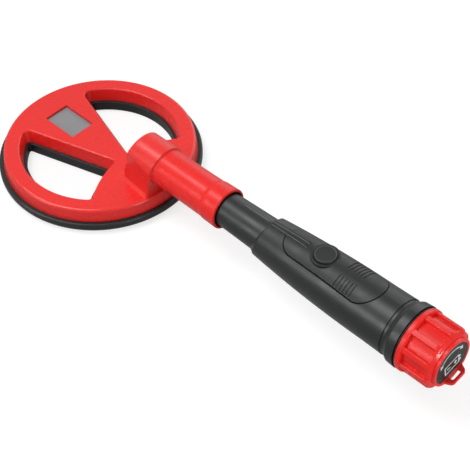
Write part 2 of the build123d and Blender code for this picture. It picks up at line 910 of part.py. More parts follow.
# Seal round the button's stem
with BuildPart() as button_seal:
    seal_middle = stem_radius + button_seal_gap + button_seal_section
    with BuildSketch(Plane.XZ):
        with Locations((button_x + seal_middle, axis_height + seal_well + button_seal_section)):
            Circle(button_seal_section)
    revolve(axis=Axis((button_x, 0, 0), (0, 0, 1)))

# Main board, held between the rails of the bay
with BuildPart() as main_board:
    with BuildSketch(level_plane(board_under)):
        with Locations(((board_front + board_rear) / 2, 0)):
            Rectangle(board_rear - board_front, 2 * board_half_width)
    extrude(amount=board_thickness)

# Push switch under the button
with BuildPart() as switch_body:
    with BuildSketch(level_plane(board_level)):
        with Locations((button_x, 0)):
            Rectangle(switch_side, switch_side)
    extrude(amount=switch_height)
    with BuildSketch(level_plane(board_level + switch_floor)):
        with Locations((button_x, 0)):
            Circle(plunger_radius + plunger_gap)
    extrude(amount=switch_height, mode=Mode.SUBTRACT)

with BuildPart() as switch_plunger:
    with BuildSketch(level_plane(plunger_top)):
        with Locations((button_x, 0)):
            Circle(plunger_radius)
    extrude(amount=-plunger_rise - plunger_bite)

# Plug for the head's lead, under the front edge of the main board
with BuildPart() as board_plug:
    with BuildSketch(level_plane(board_under)):
        with Locations((board_front + board_plug_length / 2, 0)):
            Rectangle(board_plug_length, board_plug_width)
    extrude(amount=-board_plug_height)

# Parts on the main board
with BuildPart() as controller_chip:
    with BuildSketch(level_plane(board_level)):
        with Locations((board_front + chip_place, 0)):
            Rectangle(chip_side, chip_side)
    extrude(amount=chip_height)

with BuildPart() as drive_transistor:
    with BuildSketch(level_plane(board_level)):
        with Locations((board_front + transistor_place, transistor_side)):
            Rectangle(transistor_length, transistor_width)
    extrude(amount=transistor_height)

with BuildPart() as capacitors:
    with BuildSketch(level_plane(board_level)):
        with Locations((board_front + capacitor_place, 0)):
            with GridLocations(1, capacitor_pitch, 1, 2):
                Circle(capacitor_radius)
    extrude(amount=capacitor_height)

with BuildPart() as buzzer:
    with BuildSketch(level_plane(board_under)):
        with Locations((board_front + buzzer_place, 0)):
            Circle(buzzer_radius)
    extrude(amount=-buzzer_height)

# Vibration motor under the board, with its shaft and off-centre weight
with BuildPart() as vibration_motor:
    with BuildSketch(cross_plane(motor_front)):
        with Locations((0, motor_axis)):
            Circle(motor_radius)
    extrude(amount=motor_length)
    with BuildSketch(cross_plane(motor_rear)):
        with Locations((0, motor_axis)):
            Circle(shaft_radius + shaft_gap)
    extrude(amount=-shaft_seat - shaft_gap, mode=Mode.SUBTRACT)

with BuildPart() as motor_shaft:
    with BuildSketch(cross_plane(motor_rear - shaft_seat)):
        with Locations((0, motor_axis)):
            Circle(shaft_radius)
    extrude(amount=shaft_seat + shaft_reach)

with BuildPart() as motor_weight:
    with BuildSketch(cross_plane(motor_rear + weight_gap)):
        with Locations((0, motor_axis)):
            Circle(weight_radius)
            with Locations((0, weight_radius)):
                Rectangle(2 * weight_radius, 2 * weight_radius, mode=Mode.SUBTRACT)
            Circle(weight_hub_radius)
            Circle(shaft_radius, mode=Mode.SUBTRACT)
    extrude(amount=weight_length)

# Lead from the grip's board through neck, tube and saddle to the display board
cable_low = lcd_board_under - head_plug_height / 2
cable_drop = tube_start - chamber_wall - cable_radius
cable_route = [
    (board_front, 0, axis_height),
    (cable_drop, 0, axis_height),
    (cable_drop, 0, cable_low),
    (lcd_board_rear, 0, cable_low),
]
with BuildPart() as head_cable:
    with BuildLine() as cable_line:
        FilletPolyline(*cable_route, radius=cable_bend)
    with BuildSketch(Plane(origin=cable_route[0], z_dir=(-1, 0, 0))):
        Circle(cable_radius)
    sweep()
print("head cable length", round(cable_line.wire().length, 1), "bend radius", cable_bend)

# Board with the battery's contacts, against the step of the battery bay
with BuildPart() as contact_plate:
    with BuildSketch(cross_plane(contact_x)):
        Circle(battery_bay_radius - bay_fit)
    extrude(amount=contact_thickness)

with BuildPart() as contact_clips:
    with BuildSketch(cross_plane(contact_x + contact_thickness)):
        with Locations((terminal_pitch / 2, 0)):
            Circle(crown_radius_out)
            Circle(stud_radius + snap_gap, mode=Mode.SUBTRACT)
        with Locations((-terminal_pitch / 2, 0)):
            Circle(stud_radius)
    extrude(amount=terminal_height)

with BuildPart() as battery_leads:
    with BuildSketch(cross_plane(contact_x)):
        with Locations((0, board_under - rail_gap - wire_radius)):
            with GridLocations(wire_pitch, 1, 2, 1):
                Circle(wire_radius)
    extrude(amount=-wire_length)

# Holder, block battery and its two snap terminals
with BuildPart() as battery_sleeve:
    with BuildSketch(cross_plane(contact_x + contact_thickness)):
        Circle(battery_bay_radius - bay_fit)
        Rectangle(battery_width + 2 * battery_gap, battery_depth + 2 * battery_gap, mode=Mode.SUBTRACT)
    extrude(amount=battery_bay_length - contact_thickness - sleeve_rear_gap)

with BuildPart() as battery:
    with BuildSketch(cross_plane(battery_front)):
        RectangleRounded(battery_width, battery_depth, battery_corner)
    extrude(amount=battery_length)

with BuildPart() as battery_terminals:
    with BuildSketch(cross_plane(battery_front)):
        with Locations((terminal_pitch / 2, 0)):
            Circle(stud_radius)
        with Locations((-terminal_pitch / 2, 0)):
            Circle(crown_radius_out)
            Circle(stud_radius + snap_gap, mode=Mode.SUBTRACT)
    extrude(amount=-terminal_height)

# Seal between the grip's flange and the cap
with BuildPart() as cap_seal:
    with BuildSketch(side_plane):
        with Locations((handle_rear + seal_gap + seal_section, seal_radius)):
            Circle(seal_section)
    revolve(axis=handle_axis)

# Ribbed drum of the screw cap, with the ribs' rear ends rounded over
rib_rear = drum_rear + cap_rib_overhang
with BuildPart() as ribbed_drum:
    with BuildSketch(cross_plane(drum_front, cap_rest_turn)):
        add(rib_section(pocket_floor_radius))
    extrude(amount=cap_drum_length)
    with BuildSketch(cross_plane(drum_rear, cap_rest_turn)):
        add(rib_section(cap_boss_radius))
    extrude(amount=cap_rib_overhang)
    with BuildSketch(side_plane):
        with BuildLine():
            Polyline(
                (drum_front, 0),
                (drum_front, cap_rib_radius),
                (rib_rear, cap_rib_radius),
                (rib_rear, 0),
                close=True,
            )
        envelope = make_face()
        fillet(envelope.vertices().sort_by_distance((rib_rear, cap_rib_radius))[0], cap_rib_round)
    revolve(axis=handle_axis, mode=Mode.INTERSECT)

# Screw cap: hollow plug, flange, drum, end boss and loop
plug_front = thread_x + plug_lead
plug_radius = thread_radius - plug_fit
plug_bore = plug_radius - plug_wall
plug_floor_x = plug_front + plug_floor
neck_radius = seal_radius - seal_section - plug_fit
with BuildPart() as end_cap:
    with BuildSketch(side_plane):
        with BuildLine():
            Polyline(
                (plug_front, plug_bore),
                (plug_front, plug_radius),
                (handle_rear + seal_gap, plug_radius),
                (handle_rear + seal_gap, neck_radius),
                (cap_front, neck_radius),
                (cap_front, cap_flange_radius),
                (drum_front, cap_flange_radius),
                (drum_front, cap_boss_radius),
                (boss_rear, cap_boss_radius),
                (boss_rear, 0),
                (plug_floor_x, 0),
                (plug_floor_x, plug_bore),
                close=True,
            )
        make_face()
    revolve(axis=handle_axis)
    fillet(end_cap.edges().filter_by(GeomType.CIRCLE).filter_by(flange_edge), cap_flange_round)
    add(ribbed_drum.part)
    with BuildSketch(cap_level_plane(-label_chord - loop_drop)):
        with BuildLine():
            Polyline(
                (drum_rear, -loop_root_half),
                (boss_rear, -loop_root_half),
                (boss_rear + loop_length, -loop_tip_half),
                (boss_rear + loop_length, loop_tip_half),
                (boss_rear, loop_root_half),
                (drum_rear, loop_root_half),
                close=True,
            )
        loop_face = make_face()
        fillet(loop_face.vertices().group_by(Axis.X)[-1], loop_tip_corner)
        hole_length = loop_length - loop_bar
        with Locations((boss_rear + hole_length / 2, 0)):
            RectangleRounded(hole_length, 2 * loop_hole_half, loop_hole_corner, mode=Mode.SUBTRACT)
    extrude(amount=-loop_thickness)
    with BuildSketch(cross_plane(boss_rear, cap_rest_turn)):
        add(label_plan(label_gap))
    extrude(amount=-label_recess, mode=Mode.SUBTRACT)

# Plate on the cap's end
with BuildPart() as cap_label:
    with BuildSketch(cross_plane(boss_rear - label_recess, cap_rest_turn)):
        add(label_plan(0))
    extrude(amount=label_thickness)

# Foam pad in the plug, which keeps the battery on its contacts
with BuildPart() as battery_pad:
    with BuildSketch(cross_plane(battery_rear + pad_gap)):
        Circle(pad_radius)
    extrude(amount=plug_floor_x - battery_rear - pad_gap)

pieces = {
    "coil_cover": coil_cover,
    "coil_base": coil_base,
    "head_gasket": head_gasket,
    "search_coil": search_coil,
    "coil_leads": coil_leads,
    "lcd_window": lcd_window,
    "lcd_glass": lcd_glass,
    "zebra_strips": zebra_strips,
    "lcd_board": lcd_board,
    "head_plug": head_plug,
    "head_cable": head_cable,
    "socket_tube": socket_tube,
    "neck_seals": neck_seals,
    "handle_body": handle_body,
    "grip_panel": grip_panel,
    "button_cap": button_cap,
    "button_seal": button_seal,
    "switch_body": switch_body,
    "switch_plunger": switch_plunger,
    "main_board": main_board,
    "board_plug": board_plug,
    "controller_chip": controller_chip,
    "drive_transistor": drive_transistor,
    "capacitors": capacitors,
    "buzzer": buzzer,
    "vibration_motor": vibration_motor,
    "motor_shaft": motor_shaft,
    "motor_weight": motor_weight,
    "contact_plate": contact_plate,
    "contact_clips": contact_clips,
    "battery_leads": battery_leads,
    "battery_sleeve": battery_sleeve,
    "battery": battery,
    "battery_terminals": battery_terminals,
    "cap_seal": cap_seal,
    "end_cap": end_cap,
    "cap_label": cap_label,
    "battery_pad": battery_pad,
}
os.makedirs("parts", exist_ok=True)
for label, piece in pieces.items():
    piece.part.label = label
    export_step(piece.part, f"parts/{label}.step")
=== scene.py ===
import logging
import math
from dataclasses import dataclass, field, replace
from enum import Enum
from typing import Iterable, Sequence

import bmesh
import bpy
from mathutils import Matrix, Quaternion, Vector


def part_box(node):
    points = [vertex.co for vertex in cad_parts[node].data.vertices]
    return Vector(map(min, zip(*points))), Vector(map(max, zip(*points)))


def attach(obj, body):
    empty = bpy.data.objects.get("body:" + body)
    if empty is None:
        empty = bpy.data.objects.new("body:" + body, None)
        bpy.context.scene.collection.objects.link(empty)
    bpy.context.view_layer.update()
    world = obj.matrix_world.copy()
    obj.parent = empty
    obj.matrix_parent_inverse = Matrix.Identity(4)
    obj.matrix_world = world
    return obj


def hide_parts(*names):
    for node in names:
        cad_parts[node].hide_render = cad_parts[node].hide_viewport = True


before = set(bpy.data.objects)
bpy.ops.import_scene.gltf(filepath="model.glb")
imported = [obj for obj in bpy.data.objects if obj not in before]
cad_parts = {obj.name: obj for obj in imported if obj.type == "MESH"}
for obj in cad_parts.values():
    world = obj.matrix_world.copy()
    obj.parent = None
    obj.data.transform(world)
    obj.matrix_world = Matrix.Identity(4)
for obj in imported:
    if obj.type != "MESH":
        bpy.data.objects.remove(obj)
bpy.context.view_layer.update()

# A hand-held metal detector with a ring-shaped search head: its looks, lights and camera.
# The part's lengths are in millimetres and are turned to metres as they reach Blender.
# The studio's lengths are in metres.

LOG = logging.getLogger("detector")

Socket = bpy.types.NodeSocket
Tree = bpy.types.NodeTree
Paint = bpy.types.Material
Piece = bpy.types.Object
Shape = bmesh.types.BMesh

MM = 0.001
UP = Vector((0.0, 0.0, 1.0))
REAR = Vector((1.0, 0.0, 0.0))
WHITE = "#FFFFFF"

# Height of the axis that tube, grip and cap share.
AXIS_HEIGHT = 45.8
# Points closer together than this are one point.
MERGE = 0.001
# How far an edge may lie off a circle or a plane and still count as on it.
NEAR = 0.05
# Faces across a rounded corner, a broken edge and a quarter circle of a profile.
CORNER_FACES = 8
EDGE_FACES = 3
QUARTER_FACES = 6

# Blender's wave texture turns through 20 radians per unit of length; this scale makes that one wave.
WAVE_TURN = math.tau / 20
# Brushed and drawn lines are stretched along the part.
BRUSH_STRETCH = (0.04, 1.0, 1.0)
# Match of a face with the rounded edge beside it, where the edge colour begins and where it is full:
# edge wear, and on some finishes a painted edge highlight.
EDGE_WEAR_AND_HIGHLIGHT_BEGINS = 0.995
EDGE_WEAR_AND_HIGHLIGHT_FULL = 0.80
# Most of a noise texture's values lie between these two.
CLOUD_LOW = 0.3
CLOUD_HIGH = 0.7
# Rays that feel for an edge to round.
EDGE_SAMPLES = 6


def linear(colour: str) -> tuple[float, float, float, float]:
    """Turn an sRGB hex colour into linear light.

    Args:
        colour: six hex digits after a hash sign.

    Returns:
        Red, green, blue and a full alpha.
    """
    shares = [int(colour[place:place + 2], 16) / 255 for place in (1, 3, 5)]
    light = [share / 12.92 if share <= 0.04045 else ((share + 0.055) / 1.055) ** 2.4 for share in shares]
    return (light[0], light[1], light[2], 1.0)


def per_metre(size_mm: float) -> float:
    """Texture scale whose features are this many millimetres across."""
    return 1 / (size_mm * MM)


def add_node(tree: Tree, kind: str, inputs: dict[str | int, object] | None = None,
             **settings: object) -> bpy.types.Node:
    """Add one node with its settings and its inputs.

    Args:
        tree: node tree that takes the node.
        kind: Blender's name of the node type, without its prefix.
        inputs: socket name or number to a value, or to an output socket to link from.
        settings: attributes of the node.

    Returns:
        The new node.
    """
    node = tree.nodes.new("ShaderNode" + kind)
    for name, value in settings.items():
        setattr(node, name, value)
    for name, value in (inputs or {}).items():
        if isinstance(value, Socket):
            tree.links.new(value, node.inputs[name])
        else:
            node.inputs[name].default_value = value
    return node


class Grain(Enum):
    """How the surface of a finish was made."""

    MOULDED = "moulded"
    SPARK_ERODED = "spark eroded"
    BRUSHED = "brushed"
    WOUND = "wound"
    STRIPED = "striped"
    CELLULAR = "cellular"


@dataclass(frozen=True)
class Finish:
    """A surface of one material, with mottle, grain, uneven gloss, edge wear and painted edge highlights.

    colour and drift are the two ends of the mottle, and edge is the colour of the rounded edges, of which
    wear_and_highlight is the share that shows: wear on most finishes, a painted highlight on the display's
    panel, the button and the seam beads. spread is how far the roughness strays. mottle, grain, depth (of
    the grain) and edge_round are sizes in millimetres.
    """

    name: str
    colour: str
    drift: str
    edge: str
    roughness: float
    spread: float = 0.06
    mottle: float = 14.0
    grain: float = 0.6
    depth: float = 0.02
    bump: float = 0.35
    edge_round: float = 0.35
    wear_and_highlight: float = 0.25
    metallic: float = 0.0
    ior: float = 1.5
    coat: float = 0.0
    kind: Grain = Grain.MOULDED

    def grain_height(self, tree: Tree, place: Socket) -> Socket:
        """Height of the grain.

        Args:
            tree: node tree of the material.
            place: output socket with Object coordinates.

        Returns:
            Output socket with the height, from 0 to 1.
        """
        scale = per_metre(self.grain)
        waves = scale * WAVE_TURN
        if self.kind is Grain.BRUSHED:
            along = add_node(tree, "Mapping", {"Vector": place, "Scale": BRUSH_STRETCH}).outputs[0]
            return add_node(tree, "TexNoise", {"Vector": along, "Scale": scale, "Detail": 3.0}).outputs[0]
        if self.kind is Grain.SPARK_ERODED:
            return add_node(tree, "TexVoronoi", {"Vector": place, "Scale": scale, "Randomness": 1.0},
                            feature="SMOOTH_F1").outputs["Distance"]
        if self.kind is Grain.CELLULAR:
            return add_node(tree, "TexVoronoi", {"Vector": place, "Scale": scale},
                            feature="DISTANCE_TO_EDGE").outputs["Distance"]
        if self.kind is Grain.WOUND:
            return add_node(tree, "TexWave", {"Vector": place, "Scale": waves, "Distortion": 0.6},
                            wave_type="RINGS", rings_direction="Z").outputs["Fac"]
        if self.kind is Grain.STRIPED:
            return add_node(tree, "TexWave", {"Vector": place, "Scale": waves},
                            wave_type="BANDS", bands_direction="X").outputs["Fac"]
        return add_node(tree, "TexNoise", {"Vector": place, "Scale": scale, "Detail": 2.0}).outputs[0]

    def material(self) -> Paint:
        """Make the material.

        Returns:
            A material with one shader, whose colour, gloss and bump come from its nodes.
        """
        made = bpy.data.materials.new(self.name)
        made.use_nodes = True
        tree = made.node_tree
        shader = tree.nodes["Principled BSDF"]
        place = add_node(tree, "TexCoord").outputs["Object"]
        cloud = add_node(tree, "TexNoise", {"Vector": place, "Scale": per_metre(self.mottle),
                                            "Detail": 4.0})
        height = self.grain_height(tree, place)
        rounded = add_node(tree, "Bevel", {"Radius": self.edge_round * MM}, samples=EDGE_SAMPLES)
        facing = add_node(tree, "NewGeometry").outputs["Normal"]
        # Rounded edges take the edge colour: wear on most finishes, a painted highlight on display, button
        # and seams.
        match = add_node(tree, "VectorMath", {0: rounded.outputs[0], 1: facing}, operation="DOT_PRODUCT")
        wear_and_highlight_mask = add_node(tree, "MapRange", {"Value": match.outputs["Value"], "From Min": EDGE_WEAR_AND_HIGHLIGHT_BEGINS,
                                             "From Max": EDGE_WEAR_AND_HIGHLIGHT_FULL, "To Min": 0.0, "To Max": self.wear_and_highlight})
        base = add_node(tree, "Mix", {"Factor": cloud.outputs[0], "A": linear(self.colour),
                                      "B": linear(self.drift)}, data_type="RGBA")
        worn_and_highlit = add_node(tree, "Mix", {"Factor": wear_and_highlight_mask.outputs[0], "A": base.outputs["Result"],
                                      "B": linear(self.edge)}, data_type="RGBA")
        uneven = add_node(tree, "MapRange", {"Value": cloud.outputs[0], "From Min": CLOUD_LOW,
                                             "From Max": CLOUD_HIGH, "To Min": self.roughness - self.spread,
                                             "To Max": self.roughness + self.spread})
        relief = add_node(tree, "Bump", {"Height": height, "Strength": self.bump,
                                         "Distance": self.depth * MM, "Normal": rounded.outputs[0]})
        for name, output in (("Base Color", worn_and_highlit.outputs["Result"]), ("Roughness", uneven.outputs[0]),
                             ("Normal", relief.outputs[0])):
            tree.links.new(output, shader.inputs[name])
        shader.inputs["Metallic"].default_value = self.metallic
        shader.inputs["IOR"].default_value = self.ior
        shader.inputs["Coat Weight"].default_value = self.coat
        return made


@dataclass(frozen=True)
class ClearFinish:
    """A thin clear pane: seen through from the front, a mirror at a flat angle.

    The mirror is a metallic shader whose cover follows the pane's Fresnel reflection. veil is how much
    of it shows from the front, haze the size of its cloudy patches in millimetres, and dulling how
    many times rougher the cloudiest of them is.
    """

    name: str
    colour: str
    roughness: float
    ior: float
    veil: float
    haze: float = 6.0
    dulling: float = 2.0

    def material(self) -> Paint:
        """Make the material.

        Returns:
            A see-through material whose gloss is a little uneven.
        """
        made = bpy.data.materials.new(self.name)
        made.use_nodes = True
        tree = made.node_tree
        shader = tree.nodes["Principled BSDF"]
        place = add_node(tree, "TexCoord").outputs["Object"]
        cloud = add_node(tree, "TexNoise", {"Vector": place, "Scale": per_metre(self.haze), "Detail": 3.0})
        uneven = add_node(tree, "MapRange", {"Value": cloud.outputs[0], "To Min": self.roughness,
                                             "To Max": self.roughness * self.dulling})
        mirror = add_node(tree, "Fresnel", {"IOR": self.ior})
        cover = add_node(tree, "MapRange", {"Value": mirror.outputs[0], "To Min": self.veil, "To Max": 1.0})
        behind = add_node(tree, "NewGeometry").outputs["Backfacing"]
        front = add_node(tree, "Math", {0: 1.0, 1: behind}, operation="SUBTRACT")
        shown = add_node(tree, "Math", {0: cover.outputs[0], 1: front.outputs[0]}, operation="MULTIPLY")
        tree.links.new(uneven.outputs[0], shader.inputs["Roughness"])
        tree.links.new(shown.outputs[0], shader.inputs["Alpha"])
        shader.inputs["Base Color"].default_value = linear(self.colour)
        shader.inputs["Metallic"].default_value = 1.0
        return made


# Skins, pits and draw lines are finer on the real surfaces. They are drawn at a quarter of a millimetre
# or more, so that they show.

# Polished injection-moulded ABS: saturated red, clear highlights, paler where edges are rubbed.
RED_ABS = Finish("red_moulded_abs", "#EF2A26", "#E92622", "#F65A4E", roughness=0.27, spread=0.05,
                 mottle=22.0, grain=0.9, depth=0.012, bump=0.2, edge_round=1.2, wear_and_highlight=0.25, ior=1.5)
# The same plastic on tube and cap, with less sheen and sharper edges.
SATIN_ABS = replace(RED_ABS, name="red_satin_abs", edge_round=0.45, ior=1.35)
# Glass-filled nylon from a spark-eroded mould: dark grey, dull sheen, fine pits.
BLACK_NYLON = Finish("black_moulded_nylon", "#242626", "#1F2121", "#434747", roughness=0.36, spread=0.06,
                     mottle=18.0, grain=0.8, depth=0.02, bump=0.3, edge_round=0.5, wear_and_highlight=0.3, ior=1.42,
                     kind=Grain.SPARK_ERODED)
# The same nylon on the beads along the neck's parting line and the ridge's edges, painted pale as a
# highlight where they catch the light.
SEAM_HIGHLIGHT_NYLON = replace(BLACK_NYLON, name="seam_highlight_nylon", colour="#696E6E", drift="#5C6161",
                       edge="#8A8E8E", edge_round=0.1)
# Soft-touch overmoulding: the same grey, duller, with a very fine skin.
SOFT_GRIP = Finish("soft_touch_elastomer", "#1E2020", "#1A1C1C", "#363A3A", roughness=0.42, spread=0.06,
                   mottle=12.0, grain=0.7, depth=0.02, bump=0.3, edge_round=0.4, wear_and_highlight=0.3, ior=1.41,
                   kind=Grain.SPARK_ERODED)
# Silicone rubber of the button: matt, slightly dusty. Its paler edges are a painted highlight where the
# rim catches the light.
BUTTON_SILICONE = Finish("matt_silicone_rubber", "#1E2021", "#1A1C1D", "#4C5152", roughness=0.5,
                         spread=0.05, mottle=5.0, grain=0.6, depth=0.02, bump=0.3, edge_round=0.6,
                         wear_and_highlight=0.6, ior=1.41)
# The same rubber on the ring on the button's face, painted pale as a highlight where the ring catches
# the light.
RING_HIGHLIGHT_SILICONE = replace(BUTTON_SILICONE, name="silicone_ring_highlight", colour="#4E5354", drift="#464A4B",
                          edge="#6C7172")
# Nitrile rubber of the seal rings: black, a little oily.
NITRILE = Finish("nitrile_rubber", "#141515", "#191A1A", "#2A2B2B", roughness=0.42, mottle=6.0, grain=0.5,
                 depth=0.015, bump=0.25, edge_round=0.15, wear_and_highlight=0.1)
# Carbon-striped silicone between display and board.
STRIPED_SILICONE = Finish("striped_silicone", "#B98C86", "#3A2F2E", "#C6A09B", roughness=0.6, mottle=3.0,
                          grain=0.5, depth=0.02, kind=Grain.STRIPED)
# Enamelled copper wire, wound and varnished: warm brown, clear coat over metal.
ENAMELLED_COPPER = Finish("enamelled_copper_wire", "#B5622E", "#9C4F22", "#CB7B45", roughness=0.3,
                          mottle=9.0, grain=0.7, depth=0.12, bump=0.8, metallic=0.9, coat=0.4,
                          kind=Grain.WOUND)
# Liquid-crystal panel at rest: neutral grey reflector behind polarising film, smooth. Its pale pink edges
# are a painted highlight and a painted reflection of the red cover round it.
DISPLAY_GLASS = Finish("liquid_crystal_panel", "#8E8E91", "#88888B", "#D9B4AF", roughness=0.3, spread=0.04,
                       mottle=9.0, grain=0.5, depth=0.005, bump=0.15, edge_round=0.3, wear_and_highlight=0.7, coat=0.2)
# Solder-masked glass-epoxy laminate: green, glossy, a little uneven, bare resin at its edges.
LAMINATE = Finish("glass_epoxy_laminate", "#1F6B3A", "#1A5C32", "#B9A976", roughness=0.33, mottle=4.0,
                  grain=0.9, depth=0.02, bump=0.3, wear_and_highlight=0.5)
# Natural nylon of the plugs: ivory, waxy.
IVORY_NYLON = Finish("ivory_moulded_nylon", "#E2DCC8", "#D8D1BB", "#F1ECDD", roughness=0.4, mottle=5.0)
# Vinyl wire jacket: black, smooth, slightly uneven.
VINYL = Finish("vinyl_jacket", "#1C1C1D", "#232324", "#333334", roughness=0.38, mottle=7.0, grain=1.2,
               depth=0.03)
# Epoxy moulding compound of chips, switch and buzzer: charcoal, fine pits.
MOULDING_COMPOUND = Finish("epoxy_moulding_compound", "#1B1C1C", "#212222", "#343535", roughness=0.5,
                           mottle=3.0, grain=0.4, depth=0.02, kind=Grain.SPARK_ERODED)
# Acetal of the switch's stem: dull red.
ACETAL = Finish("acetal_stem", "#B02820", "#A2231C", "#C65148", roughness=0.42, mottle=2.5)
# Drawn aluminium cans: pale, with fine draw lines.
DRAWN_ALUMINIUM = Finish("drawn_aluminium_can", "#C9CBCE", "#BDBFC2", "#E0E1E3", roughness=0.32, mottle=4.0,
                         grain=0.3, depth=0.01, metallic=1.0, kind=Grain.BRUSHED)
# Ground steel shaft: bright, with fine lines along it.
GROUND_STEEL = Finish("ground_steel", "#BBBCBE", "#AEB0B2", "#D8D9DA", roughness=0.22, mottle=2.0,
                      grain=0.25, depth=0.006, metallic=1.0, kind=Grain.BRUSHED)
# Sintered tungsten alloy of the weight: dull grey metal with pores.
SINTERED_ALLOY = Finish("sintered_weight_alloy", "#84868A", "#77797D", "#A4A6A9", roughness=0.52,
                        mottle=2.0, grain=0.3, depth=0.02, metallic=1.0, kind=Grain.SPARK_ERODED)
# Nickel-plated snap contacts: warm silver, drawn.
NICKEL_PLATE = Finish("nickel_plated_steel", "#CFC9BF", "#C3BDB2", "#E6E1D8", roughness=0.24, mottle=2.0,
                      grain=0.3, depth=0.006, metallic=1.0, kind=Grain.BRUSHED)
# Moulded holder round the battery: black, plain.
HOLDER_ABS = Finish("black_holder_abs", "#242526", "#1E1F20", "#3A3C3D", roughness=0.48, mottle=10.0,
                    grain=0.8)
# Lacquered battery can: dark blue-grey lacquer under a gloss coat.
LACQUERED_CAN = Finish("lacquered_battery_can", "#3B4048", "#343941", "#8D9197", roughness=0.3, mottle=11.0,
                       grain=0.7, depth=0.008, coat=0.5)
# Printed polyester film on the cap's end: dark grey, satin, faintly grained.
LABEL_FILM = Finish("printed_polyester_film", "#232A28", "#1E2422", "#4A5250", roughness=0.4, mottle=4.0,
                    grain=0.5, depth=0.012, edge_round=0.15, wear_and_highlight=0.3, ior=1.4)
# White print on that film: matt ink, slightly raised and uneven.
LABEL_INK = Finish("white_print_ink", "#D9DCDC", "#C8CBCB", "#EDEFEF", roughness=0.5, mottle=1.5, grain=0.3,
                   depth=0.01, edge_round=0.05, wear_and_highlight=0.1)
# Open-cell polyurethane foam: charcoal, cells just visible.
OPEN_FOAM = Finish("open_cell_foam", "#303233", "#1C1D1E", "#45484A", roughness=0.9, mottle=3.0, grain=0.9,
                   depth=0.3, bump=0.9, wear_and_highlight=0.2, kind=Grain.CELLULAR)
# Clear acrylic pane over the display: faint grey, polished.
CLEAR_ACRYLIC = ClearFinish("clear_acrylic", "#F4F4F6", roughness=0.06, ior=1.49, veil=0.03)


def new_piece(name: str, shape: Shape, finish: Paint, body: str,
              smooth_deg: float = 35.0) -> Piece:
    """Turn a bmesh into a finished piece that rides on a body.

    Args:
        name: name of the piece.
        shape: bmesh in metres, in the frame of the part; it is freed here.
        finish: material of the piece.
        body: CAD body that carries it.
        smooth_deg: edges flatter than this angle are shaded smooth.

    Returns:
        The new object.
    """
    mesh = bpy.data.meshes.new(name)
    for face in shape.faces:
        face.smooth = True
    for edge in shape.edges:
        edge.smooth = len(edge.link_faces) == 2 and edge.calc_face_angle(0.0) < math.radians(smooth_deg)
    shape.to_mesh(mesh)
    shape.free()
    piece = bpy.data.objects.new(name, mesh)
    bpy.context.scene.collection.objects.link(piece)
    mesh.materials.append(finish)
    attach(piece, body)
    LOG.info("piece %s rides on %s", name, body)
    return piece


def dress(nodes: Iterable[str], finish: Paint) -> None:
    """Give CAD nodes a finish.

    Args:
        nodes: names of the nodes.
        finish: material that replaces theirs.
    """
    for node in nodes:
        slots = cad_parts[node].data.materials
        slots.clear()
        slots.append(finish)
        LOG.info("node %s is %s", node, finish.name)


def join(shape: Shape, verts: list[bmesh.types.BMVert], closed: bool) -> list[bmesh.types.BMEdge]:
    """Join points in turn by edges, and the last to the first where the line is closed."""
    after = verts[1:] + verts[:1] if closed else verts[1:]
    return [shape.edges.new(pair) for pair in zip(verts, after)]


def round_edges(shape: Shape, edges: Sequence[bmesh.types.BMEdge], bend: float, faces: int) -> None:
    """Round some edges of a shape.

    Args:
        shape: bmesh that holds the edges.
        edges: the edges to round.
        bend: how far the rounding reaches from each edge, in millimetres.
        faces: number of faces across the rounding.
    """
    bmesh.ops.bevel(shape, geom=edges, offset=bend * MM, offset_type="OFFSET", segments=faces,
                    profile=0.5, affect="EDGES", material=-1)


def lathe(profile: Sequence[tuple[float, float]], foot: Vector, closed: bool, axis: Vector = UP,
          out: Vector = REAR, steps: int = 96) -> Shape:
    """Turn a profile round an axis.

    Args:
        profile: radius and height of each point, in millimetres.
        foot: point of the axis from which heights count, in metres.
        closed: whether the last point joins the first, as on a ring.
        axis: direction of the axis.
        out: direction in which the profile's radii are drawn.
        steps: number of sides.

    Returns:
        The turned shape.
    """
    shape = bmesh.new()
    verts = [shape.verts.new(foot + (out * radius + axis * height) * MM) for radius, height in profile]
    edges = join(shape, verts, closed)
    bmesh.ops.spin(shape, geom=verts + edges, cent=foot, axis=axis, angle=math.tau, steps=steps,
                   use_merge=True)
    bmesh.ops.remove_doubles(shape, verts=shape.verts, dist=MERGE * MM)
    bmesh.ops.recalc_face_normals(shape, faces=shape.faces)
    return shape


def between(ends: tuple[float, float], share: float) -> float:
    """Value at this share of the way from one end to the other."""
    return ends[0] + (ends[1] - ends[0]) * share


def quarter_turns() -> list[float]:
    """Even turns of a quarter circle, in radians."""
    return [math.pi / 2 * step / QUARTER_FACES for step in range(QUARTER_FACES + 1)]


def round_rim(radius: float, height: float, bend: float) -> list[tuple[float, float]]:
    """Points of a rounded outer edge, from the side up to the top, for a lathe profile."""
    return [(radius - bend + bend * math.cos(turn), height - bend + bend * math.sin(turn))
            for turn in quarter_turns()]


def polar(radius: float, turn: float) -> tuple[float, float]:
    """Point at a radius and a turn, in radians, round the middle of a flat face."""
    return (radius * math.cos(turn), radius * math.sin(turn))


def plate(low: Vector, high: Vector, corner: float, bend: float) -> Shape:
    """Flat plate with round corners and broken edges.

    Args:
        low: lowest corner, in metres.
        high: highest corner, in metres.
        corner: radius of the upright corners, in millimetres.
        bend: width of the broken edges, in millimetres.

    Returns:
        The plate.
    """
    shape = bmesh.new()
    bmesh.ops.create_cube(shape, size=1.0, matrix=Matrix.LocRotScale((low + high) / 2, None, high - low))
    posts = [edge for edge in shape.edges if abs(edge.verts[0].co.z - edge.verts[1].co.z) > bend * MM]
    round_edges(shape, posts, corner, CORNER_FACES)
    rims = [edge for edge in shape.edges if abs(edge.verts[0].co.z - edge.verts[1].co.z) < bend * MM]
    round_edges(shape, rims, bend, EDGE_FACES)
    return shape


